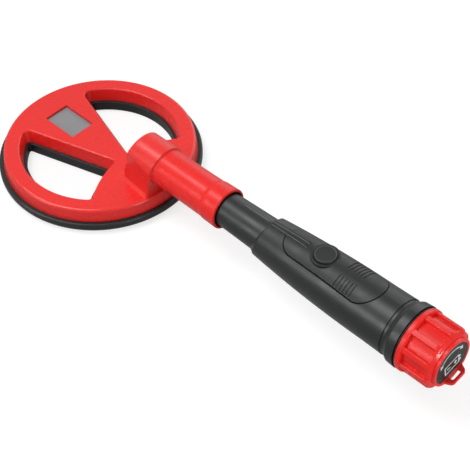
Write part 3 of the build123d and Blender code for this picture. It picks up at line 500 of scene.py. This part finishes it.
class SearchHead:
    """Spoked ring with its saddle and coil."""

    def build(self, red: Paint, black: Paint) -> None:
        """Dress the head.

        Args:
            red: finish of the cover.
            black: finish of the base.
        """
        dress(("coil_cover",), red)
        dress(("coil_base",), black)
        dress(("head_gasket",), NITRILE.material())
        dress(("search_coil", "coil_leads"), ENAMELLED_COPPER.material())


@dataclass
class Display:
    """Panel, pane and board of the head's display. Sizes in millimetres."""

    pane_lift: float = 0.15
    pane_inset: float = 0.05
    pane_corner: float = 1.4
    pane_round: float = 0.12
    front_length: float = 34.0
    front_width: float = 22.8
    front_height: float = 1.9
    front_corner: float = 0.8
    front_round: float = 0.3

    def pane(self) -> Piece:
        """Clear pane with round corners and broken edges, a hair above the panel.

        Returns:
            The pane, which stands for the CAD plate.
        """
        low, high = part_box("lcd_window")
        low = low + Vector((self.pane_inset, self.pane_inset, self.pane_lift)) * MM
        high = high - Vector((self.pane_inset, self.pane_inset, 0.0)) * MM
        shape = plate(low, high, self.pane_corner, self.pane_round)
        piece = new_piece("display_pane", shape, CLEAR_ACRYLIC.material(), "handle")
        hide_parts("lcd_window")
        return piece

    def front(self, panel: Paint) -> Piece:
        """Raised front of the display, which stands on the pane and fills the opening's lower half.

        Args:
            panel: finish of the liquid-crystal panel.

        Returns:
            The front.
        """
        low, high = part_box("lcd_window")
        middle = (low + high) / 2
        half = Vector((self.front_length / 2, self.front_width / 2, 0.0)) * MM
        foot = Vector((middle.x, middle.y, high.z))
        top = foot + UP * self.front_height * MM
        shape = plate(foot - half, top + half, self.front_corner, self.front_round)
        return new_piece("display_front", shape, panel, "handle")

    def build(self, board: Paint, ivory: Paint) -> None:
        """Dress the display.

        Args:
            board: finish of circuit boards.
            ivory: finish of plugs.
        """
        panel = DISPLAY_GLASS.material()
        dress(("lcd_glass",), panel)
        self.pane()
        self.front(panel)
        dress(("zebra_strips",), STRIPED_SILICONE.material())
        dress(("lcd_board",), board)
        dress(("head_plug",), ivory)


@dataclass
class Grip:
    """Tube, neck and grip, with button and panel. Sizes in millimetres.

    The joint is where the tube leaves the saddle, whose leaning face stands at joint_x at the height of
    joint_crest. The spine is the ridge in front of the button.
    """

    button_rise: float = 0.9
    button_wrap: float = 0.95
    button_skin: float = 0.04
    button_edge: float = 0.8
    button_dish: float = 0.25
    dish_share: float = 0.82
    collar_inner: float = 9.25
    collar_outer: float = 11.3
    collar_drop: float = 0.4
    collar_sink: float = 2.6
    collar_edge: float = 0.45
    joint_x: float = 83.81
    joint_crest: float = 63.5
    joint_lean: float = 0.17
    joint_fillet: float = 1.2
    joint_sink: float = 0.2
    tube_radius: float = 16.05
    seam_width: float = 0.7
    seam_rise: float = 0.3
    seam_sink: float = 0.5
    seam_steps: int = 12
    neck_line: tuple[float, float] = (168.0, 192.5)
    neck_radii: tuple[float, float] = (14.63, 15.32)
    neck_side: float = 1.8
    spine_line: tuple[float, float] = (199.0, 234.5)
    spine_sides: Sequence[tuple[float, float]] = ((0.7, 0.85), (-2.0, -3.2))
    spine_crown: float = 24.05
    spine_crown_x: float = 303.3
    spine_sweep: float = 1136.0
    spine_ramp_x: float = 230.5
    spine_ramp: float = 0.16
    ring_radius: float = 7.8
    ring_width: float = 0.7
    ring_rise: float = 0.1
    ring_sink: float = 0.2

    def button_foot(self) -> Vector:
        """Middle of the CAD button's top."""
        low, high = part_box("button_cap")
        return Vector(((low.x + high.x) / 2, (low.y + high.y) / 2, high.z))

    def dish_level(self) -> float:
        """Height at which the dish in the button's face begins."""
        return self.button_rise - self.button_dish / 4

    def button_face(self, rubber: Paint) -> Piece:
        """Raised, slightly dished face that wraps the button's top.

        Args:
            rubber: finish of the button.

        Returns:
            The face.
        """
        low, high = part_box("button_cap")
        radius = (high.y - low.y) / 2 / MM + self.button_skin
        profile = [(0.0, -self.button_wrap), (radius, -self.button_wrap)]
        profile += round_rim(radius, self.button_rise, self.button_edge)
        profile += [(radius * self.dish_share, self.dish_level()),
                    (0.0, self.button_rise - self.button_dish)]
        shape = lathe(profile, self.button_foot(), closed=False)
        return new_piece("button_face", shape, rubber, "button")

    def button_ring(self) -> Piece:
        """Fine ring that stands on the button's face, painted pale as a highlight.

        Returns:
            The ring.
        """
        foot = self.dish_level() - self.ring_sink
        top = self.dish_level() + self.ring_rise
        profile = [(self.ring_radius - self.ring_width / 2, foot),
                   (self.ring_radius + self.ring_width / 2, foot),
                   (self.ring_radius + self.ring_width / 4, top),
                   (self.ring_radius - self.ring_width / 4, top)]
        shape = lathe(profile, self.button_foot(), closed=True)
        return new_piece("button_ring", shape, RING_HIGHLIGHT_SILICONE.material(), "button")

    def button_collar(self, soft: Paint) -> Piece:
        """Flat ring round the button that stands out of the panel.

        Args:
            soft: finish of the panel.

        Returns:
            The ring.
        """
        profile = [(self.collar_inner, -self.collar_sink), (self.collar_outer, -self.collar_sink)]
        profile += round_rim(self.collar_outer, -self.collar_drop, self.collar_edge)
        profile += [(self.collar_inner, -self.collar_drop)]
        shape = lathe(profile, self.button_foot(), closed=True)
        return new_piece("button_collar", shape, soft, "handle")

    def tube_fillet(self, red: Paint) -> Piece:
        """Hollow fillet where the tube leaves the saddle's leaning face.

        Args:
            red: finish of the tube.

        Returns:
            The fillet.
        """
        profile = [(self.tube_radius + self.joint_fillet * (1 - math.sin(turn)),
                    self.joint_fillet * (1 - math.cos(turn))) for turn in quarter_turns()]
        profile += [(self.tube_radius - self.joint_sink, self.joint_fillet),
                    (self.tube_radius - self.joint_sink, -self.joint_sink),
                    (self.tube_radius + self.joint_fillet, -self.joint_sink)]
        foot = Vector((self.joint_x, 0.0, AXIS_HEIGHT)) * MM
        shape = lathe(profile, foot, closed=True, axis=REAR, out=UP)
        for vert in shape.verts:
            vert.co.x += self.joint_lean * (vert.co.z - self.joint_crest * MM)
        return new_piece("tube_fillet", shape, red, "handle")

    def bead(self, shape: Shape, line: Sequence[tuple[float, float, float]]) -> None:
        """Add one fine bead along the top of the grip.

        Args:
            shape: bmesh that takes the bead.
            line: place along the grip, radius of the surface under the bead, and how far the bead lies
                from the middle, at each step, in millimetres.
        """
        section = ((-self.seam_width / 2, -self.seam_sink), (-self.seam_width / 4, self.seam_rise),
                   (self.seam_width / 4, self.seam_rise), (self.seam_width / 2, -self.seam_sink))
        rings = []
        for place, radius, side in line:
            corners = []
            for across, rise in section:
                up, out = polar(radius + rise, math.asin((side + across) / radius))
                corners.append(shape.verts.new(Vector((place, out, AXIS_HEIGHT + up)) * MM))
            rings.append(join(shape, corners, closed=True))
        for ring, following in zip(rings, rings[1:]):
            bmesh.ops.bridge_loops(shape, edges=ring + following)
        bmesh.ops.holes_fill(shape, edges=rings[0] + rings[-1], sides=len(section))

    def spine_radius(self, place: float) -> float:
        """Radius of the ridge's top at a place along the grip: a long sweep, with a ramp at its rear.

        Args:
            place: distance from the head's middle, in millimetres.

        Returns:
            The distance from the grip's axis, in millimetres.
        """
        fall = self.spine_sweep - math.sqrt(self.spine_sweep ** 2 - (self.spine_crown_x - place) ** 2)
        ramp = max(0.0, place - self.spine_ramp_x) * self.spine_ramp
        return self.spine_crown - fall - ramp

    def seams(self) -> Piece:
        """Parting line along the neck and the two edges of the ridge in front of the button, painted pale
        as highlights.

        Returns:
            The beads.
        """
        shape = bmesh.new()
        shares = [step / self.seam_steps for step in range(self.seam_steps + 1)]
        self.bead(shape, [(between(self.neck_line, share), between(self.neck_radii, share), self.neck_side)
                          for share in shares])
        for sides in self.spine_sides:
            places = [between(self.spine_line, share) for share in shares]
            self.bead(shape, [(place, self.spine_radius(place), between(sides, share))
                              for place, share in zip(places, shares)])
        bmesh.ops.recalc_face_normals(shape, faces=shape.faces)
        return new_piece("grip_seams", shape, SEAM_HIGHLIGHT_NYLON.material(), "handle")

    def build(self, red: Paint, black: Paint, rubber: Paint) -> None:
        """Dress the grip.

        Args:
            red: finish of the tube.
            black: finish of neck and grip.
            rubber: finish of the seal rings.
        """
        dress(("socket_tube",), red)
        dress(("handle_body",), black)
        self.tube_fillet(red)
        self.seams()
        soft = SOFT_GRIP.material()
        silicone = BUTTON_SILICONE.material()
        dress(("grip_panel",), soft)
        dress(("button_cap",), silicone)
        self.button_face(silicone)
        self.button_ring()
        self.button_collar(soft)
        dress(("neck_seals", "button_seal"), rubber)


class Electronics:
    """What the grip holds: board, switch, motor, leads and battery."""

    def build(self, board: Paint, ivory: Paint) -> None:
        """Dress the electronics.

        Args:
            board: finish of circuit boards.
            ivory: finish of plugs.
        """
        dress(("main_board", "contact_plate"), board)
        dress(("board_plug",), ivory)
        dress(("head_cable", "battery_leads"), VINYL.material())
        dress(("switch_body", "controller_chip", "drive_transistor", "buzzer"),
              MOULDING_COMPOUND.material())
        dress(("switch_plunger",), ACETAL.material())
        dress(("capacitors", "vibration_motor"), DRAWN_ALUMINIUM.material())
        dress(("motor_shaft",), GROUND_STEEL.material())
        dress(("motor_weight",), SINTERED_ALLOY.material())
        dress(("contact_clips", "battery_terminals"), NICKEL_PLATE.material())
        dress(("battery_sleeve",), HOLDER_ABS.material())
        dress(("battery",), LACQUERED_CAN.material())


@dataclass
class ScrewCap:
    """Ribbed cap with its plug, thread, label and foam pad. Sizes in millimetres."""

    thread_inset: float = 2.2
    thread_turns: float = 2.4
    thread_lead: float = 4.0
    thread_root: float = 18.6
    thread_crest: float = 19.8
    thread_foot: float = 1.9
    thread_land: float = 0.7
    thread_steps: int = 96
    run_out_deg: float = 60.0
    pad_round: float = 1.2
    pad_steps: int = 64
    round_faces: int = 4
    label_turn_deg: float = 10.0
    ink: float = 0.05
    line: float = 1.1
    arrow_radius: float = 13.2
    arrow_from_deg: float = 38.0
    arrow_sweep_deg: float = 104.0
    arrow_head: float = 4.0
    arrow_steps: int = 32
    sign_level: float = -3.2
    sign_length: float = 15.0
    sign_height: float = 8.4
    sign_reach: float = 3.4
    pole_length: float = 1.5
    pole_height: float = 2.2
    rim_front_x: float = 362.0
    rim_turn_x: float = 363.9
    rim_rear_x: float = 366.1
    rim_radius: float = 23.3
    rim_foot: float = 20.4
    rim_root: float = 18.6
    rim_round: float = 0.6
    rim_steps: int = 120

    def rear_rim(self, red: Paint) -> Piece:
        """Raised ring that closes the pockets between the ribs.

        Args:
            red: finish of the cap.

        Returns:
            The ring.
        """
        profile = [(self.rim_root, self.rim_front_x), (self.rim_radius, self.rim_front_x),
                   (self.rim_radius, self.rim_turn_x), (self.rim_foot, self.rim_rear_x),
                   (self.rim_root, self.rim_rear_x)]
        foot = Vector((0.0, 0.0, AXIS_HEIGHT)) * MM
        shape = lathe(profile, foot, closed=True, axis=REAR, out=UP, steps=self.rim_steps)
        crest = {vert for vert in shape.verts
                 if abs((vert.co - foot).yz.length - self.rim_radius * MM) < NEAR * MM}
        rings = [edge for edge in shape.edges if crest.issuperset(edge.verts)
                 and abs(edge.verts[0].co.x - edge.verts[1].co.x) < NEAR * MM]
        round_edges(shape, rings, self.rim_round, self.round_faces)
        return new_piece("cap_rear_rim", shape, red, "cap")

    def on_label(self, across: float, up: float) -> Vector:
        """Point on top of the ink.

        Args:
            across: millimetres along the label's lines from its middle.
            up: millimetres up from its middle.

        Returns:
            The point, in metres.
        """
        turn = math.radians(self.label_turn_deg)
        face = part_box("cap_label")[1].x / MM + self.ink
        return Vector((face, across * math.cos(turn) - up * math.sin(turn),
                       AXIS_HEIGHT + across * math.sin(turn) + up * math.cos(turn))) * MM

    def patch(self, shape: Shape, points: Sequence[tuple[float, float]]) -> None:
        """Add one flat patch of ink to a shape, from points on the label."""
        shape.faces.new([shape.verts.new(self.on_label(across, up)) for across, up in points])

    def bar(self, shape: Shape, across: float, up: float, length: float, height: float) -> None:
        """Add one straight bar of ink to a shape, from its middle and its sides."""
        self.patch(shape, [(across + side * length / 2, up + rise * height / 2)
                           for side, rise in ((-1, -1), (1, -1), (1, 1), (-1, 1))])

    def turn_arrow(self, shape: Shape) -> None:
        """Add a bent arrow with two heads to the ink.

        Args:
            shape: bmesh that takes the arrow.
        """
        start = math.radians(self.arrow_from_deg)
        sweep = math.radians(self.arrow_sweep_deg)
        ends = [shape.verts.new(self.on_label(*polar(radius, start)))
                for radius in (self.arrow_radius - self.line / 2, self.arrow_radius + self.line / 2)]
        bmesh.ops.spin(shape, geom=ends + join(shape, ends, closed=False), cent=self.on_label(0.0, 0.0),
                       axis=REAR, angle=sweep, steps=self.arrow_steps)
        wings = (self.arrow_radius - self.arrow_head / 2, self.arrow_radius + self.arrow_head / 2)
        for turn, way in ((start, -1), (start + sweep, 1)):
            tip = turn + way * self.arrow_head / self.arrow_radius
            self.patch(shape, [polar(self.arrow_radius, tip), *(polar(wing, turn) for wing in wings)])

    def battery_sign(self, shape: Shape) -> None:
        """Add a block battery with its two poles and their signs to the ink.

        Args:
            shape: bmesh that takes the battery.
        """
        level, length, height = self.sign_level, self.sign_length, self.sign_height
        for side in (-1, 1):
            self.bar(shape, 0.0, level + side * height / 2, length + self.line, self.line)
            self.bar(shape, side * length / 2, level, self.line, height - self.line)
            self.bar(shape, side * length / 4, level, self.sign_reach, self.line)
            self.bar(shape, (length + self.pole_length + self.line) / 2, level + side * height / 4,
                     self.pole_length, self.pole_height)
            self.bar(shape, length / 4, level + side * (self.sign_reach + self.line) / 4,
                     self.line, (self.sign_reach - self.line) / 2)

    def marks(self) -> Piece:
        """Plain signs on the label: a turn arrow, and a block battery with its two poles.

        Returns:
            The ink.
        """
        shape = bmesh.new()
        self.turn_arrow(shape)
        self.battery_sign(shape)
        shape.normal_update()
        bmesh.ops.reverse_faces(shape, faces=[face for face in shape.faces if face.normal.x < 0])
        bmesh.ops.solidify(shape, geom=shape.faces, thickness=self.ink * MM)
        return new_piece("label_marks", shape, LABEL_INK.material(), "cap")

    def thread(self, red: Paint) -> Piece:
        """Screw ridge round the plug, with a run-out at both ends.

        Args:
            red: finish of the cap.

        Returns:
            The ridge.
        """
        shape = bmesh.new()
        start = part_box("end_cap")[0].x / MM + self.thread_inset
        profile = ((-self.thread_foot, self.thread_root), (-self.thread_land, self.thread_crest),
                   (self.thread_land, self.thread_crest), (self.thread_foot, self.thread_root))
        foot = UP * AXIS_HEIGHT * MM
        ring = [shape.verts.new(foot + (REAR * (start + along / 2) + UP * radius) * MM)
                for along, radius in profile]
        steps = round(self.thread_steps * self.thread_turns)
        length = self.thread_lead * self.thread_turns
        bmesh.ops.spin(shape, geom=join(shape, ring, closed=True), cent=foot, axis=REAR,
                       dvec=REAR * (length / steps * MM), angle=math.tau * self.thread_turns, steps=steps)
        bmesh.ops.holes_fill(shape, edges=[edge for edge in shape.edges if edge.is_boundary],
                             sides=len(profile))
        fade = self.thread_lead * self.run_out_deg / 360
        for vert in shape.verts:
            across = Vector((0.0, vert.co.y, vert.co.z - foot.z))
            along = vert.co.x / MM - start
            share = max(0.0, min(1.0, (along + fade) / (2 * fade), (length - along + fade) / (2 * fade)))
            across.length = between((self.thread_root * MM, across.length), share)
            vert.co.yz = (foot + across).yz
        bmesh.ops.recalc_face_normals(shape, faces=shape.faces)
        return new_piece("cap_thread", shape, red, "cap")

    def pad(self) -> Piece:
        """Foam pad in the plug, with soft rims.

        Returns:
            The pad, which stands for the CAD disc.
        """
        low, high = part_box("battery_pad")
        radius = (high.z - low.z) / 2
        shape = bmesh.new()
        middle = Matrix.Translation((low + high) / 2)
        bmesh.ops.create_cone(shape, cap_ends=True, segments=self.pad_steps, radius1=radius, radius2=radius,
                              depth=high.x - low.x, matrix=middle @ Matrix.Rotation(math.pi / 2, 4, "Y"))
        rims = [edge for edge in shape.edges if edge.calc_face_angle(0.0) > math.pi / 4]
        round_edges(shape, rims, self.pad_round, self.round_faces)
        piece = new_piece("foam_pad", shape, OPEN_FOAM.material(), "cap")
        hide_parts("battery_pad")
        return piece

    def build(self, red: Paint, rubber: Paint) -> None:
        """Make the cap.

        Args:
            red: finish of the cap.
            rubber: finish of its seal ring.
        """
        dress(("end_cap",), red)
        dress(("cap_seal",), rubber)
        dress(("cap_label",), LABEL_FILM.material())
        self.marks()
        self.rear_rim(red)
        self.thread(red)
        self.pad()


@dataclass(frozen=True)
class Lamp:
    """A square soft lamp: place, aim and side in metres, power in watts, and how far its beam opens."""

    name: str
    place: Vector
    aim: Vector
    side: float
    power: float
    spread_deg: float = 180.0


@dataclass
class Studio:
    """Pale floor, soft lamps, and the camera at the photograph's angle. Lengths in metres.

    A glow is what the eye sees besides the light that reaches the part, and a mirror is the share of
    it that shows in the part's gloss. The lamps aim at centre, grip and cap.
    """

    floor_side: float = 6.0
    floor_drop: float = 0.0002
    floor_colour: str = "#A0A0A0"
    floor_roughness: float = 0.9
    floor_glow: float = 0.72
    floor_mirror: float = 0.2
    world_light: float = 0.42
    world_glow: float = 0.32
    world_mirror: float = 0.85
    centre: Vector = field(default_factory=lambda: Vector((0.15, 0.0, 0.03)))
    grip: Vector = field(default_factory=lambda: Vector((0.27, 0.0, 0.045)))
    cap: Vector = field(default_factory=lambda: Vector((0.37, 0.0, 0.040)))
    eye: Vector = field(default_factory=lambda: Vector((0.689755, -0.524575, 0.818519)))
    sight: Vector = field(default_factory=lambda: Vector((-0.4872, 0.4802, -0.7294)))
    roll_deg: float = -1.66
    sensor: float = 36.0
    focal_pixels: float = 1400.0
    picture_pixels: float = 470.0

    def lamps(self) -> list[Lamp]:
        """Soft lamps high over the head, low in front of the grip, behind it, and behind the cap.

        Returns:
            The lamps, in the order in which they are hung.
        """
        return [
            Lamp("key_lamp", Vector((-0.36, -0.34, 1.30)), self.centre, 0.65, 9.6),
            Lamp("front_lamp", Vector((-0.22, -0.95, 0.46)), self.grip, 0.36, 0.24, spread_deg=40.0),
            Lamp("back_lamp", Vector((-0.15, 1.15, 0.55)), self.centre, 1.0, 3.8),
            Lamp("rear_lamp", Vector((1.05, -0.05, 0.12)), self.cap, 0.12, 0.14, spread_deg=40.0),
        ]

    def floor(self) -> None:
        """Pale floor that stays near white to the eye and keeps the part's shadow."""
        shape = bmesh.new()
        bmesh.ops.create_grid(shape, x_segments=1, y_segments=1, size=self.floor_side / 2,
                              matrix=Matrix.Translation(UP * -self.floor_drop))
        mesh = bpy.data.meshes.new("floor")
        shape.to_mesh(mesh)
        shape.free()
        floor = bpy.data.objects.new("floor", mesh)
        bpy.context.scene.collection.objects.link(floor)
        paint = bpy.data.materials.new("pale_floor")
        paint.use_nodes = True
        tree = paint.node_tree
        shader = tree.nodes["Principled BSDF"]
        shader.inputs["Base Color"].default_value = linear(self.floor_colour)
        shader.inputs["Roughness"].default_value = self.floor_roughness
        shader.inputs["Specular IOR Level"].default_value = 0.0
        seen = self.seen(tree, self.floor_glow, self.floor_mirror)
        glow = add_node(tree, "Emission", {"Color": linear(WHITE), "Strength": seen})
        both = add_node(tree, "AddShader", {0: shader.outputs[0], 1: glow.outputs[0]})
        tree.links.new(both.outputs[0], tree.nodes["Material Output"].inputs["Surface"])
        mesh.materials.append(paint)

    @staticmethod
    def seen(tree: Tree, share: float, mirror: float) -> Socket:
        """Strength that camera and glass rays meet, and mirror rays in part.

        Args:
            tree: node tree that takes the nodes.
            share: strength for camera and glass rays.
            mirror: part of it that mirror rays meet.

        Returns:
            Output socket with the strength.
        """
        rays = add_node(tree, "LightPath").outputs
        gloss = add_node(tree, "Math", {0: rays["Is Glossy Ray"], 1: mirror},
                         operation="MULTIPLY").outputs[0]
        straight = add_node(tree, "Math", {0: rays["Is Camera Ray"], 1: rays["Is Transmission Ray"]},
                            operation="MAXIMUM").outputs[0]
        part = add_node(tree, "Math", {0: straight, 1: gloss}, operation="MAXIMUM").outputs[0]
        return add_node(tree, "Math", {0: part, 1: share}, operation="MULTIPLY").outputs[0]

    def world(self) -> None:
        """Even grey light from all round, white to the eye."""
        world = bpy.data.worlds.new("studio")
        bpy.context.scene.world = world
        world.use_nodes = True
        tree = world.node_tree
        seen = self.seen(tree, self.world_glow, self.world_mirror)
        strength = add_node(tree, "Math", {0: seen, 1: self.world_light}, operation="ADD")
        back = tree.nodes["Background"]
        back.inputs["Color"].default_value = linear(WHITE)
        tree.links.new(strength.outputs[0], back.inputs["Strength"])

    @staticmethod
    def hang(data: bpy.types.ID, place: Vector, turn: Quaternion) -> bpy.types.Object:
        """Put a lamp or the camera in its place.

        Args:
            data: the lamp or camera.
            place: where it hangs.
            turn: how it is turned.

        Returns:
            The object that holds it.
        """
        holder = bpy.data.objects.new(data.name, data)
        bpy.context.scene.collection.objects.link(holder)
        holder.location = place
        holder.rotation_mode = "QUATERNION"
        holder.rotation_quaternion = turn
        return holder

    def lights(self) -> None:
        """Hang the lamps."""
        for lamp in self.lamps():
            data = bpy.data.lights.new(lamp.name, "AREA")
            data.shape = "SQUARE"
            data.size = lamp.side
            data.energy = lamp.power
            data.spread = math.radians(lamp.spread_deg)
            self.hang(data, lamp.place, (lamp.aim - lamp.place).to_track_quat("-Z", "Y"))

    def camera(self) -> None:
        """Set the camera where the photograph was taken from."""
        data = bpy.data.cameras.new("camera")
        data.sensor_width = self.sensor
        data.sensor_fit = "HORIZONTAL"
        data.lens = self.focal_pixels / self.picture_pixels * self.sensor
        roll = Quaternion(UP, math.radians(self.roll_deg))
        turn = self.sight.to_track_quat("-Z", "Y") @ roll
        bpy.context.scene.camera = self.hang(data, self.eye, turn)

    def build(self) -> None:
        """Make floor, light and camera."""
        self.floor()
        self.world()
        self.lights()
        self.camera()
        bpy.context.scene.view_settings.view_transform = "Standard"


def main() -> None:
    """Build the part's looks and the studio, in order."""
    logging.basicConfig(level=logging.INFO, format="%(message)s")
    red = RED_ABS.material()
    satin = SATIN_ABS.material()
    black = BLACK_NYLON.material()
    rubber = NITRILE.material()
    board = LAMINATE.material()
    ivory = IVORY_NYLON.material()
    Studio().build()
    SearchHead().build(red, black)
    Display().build(board, ivory)
    Grip().build(satin, black, rubber)
    Electronics().build(board, ivory)
    ScrewCap().build(satin, rubber)


if __name__ == "__main__":
    main()
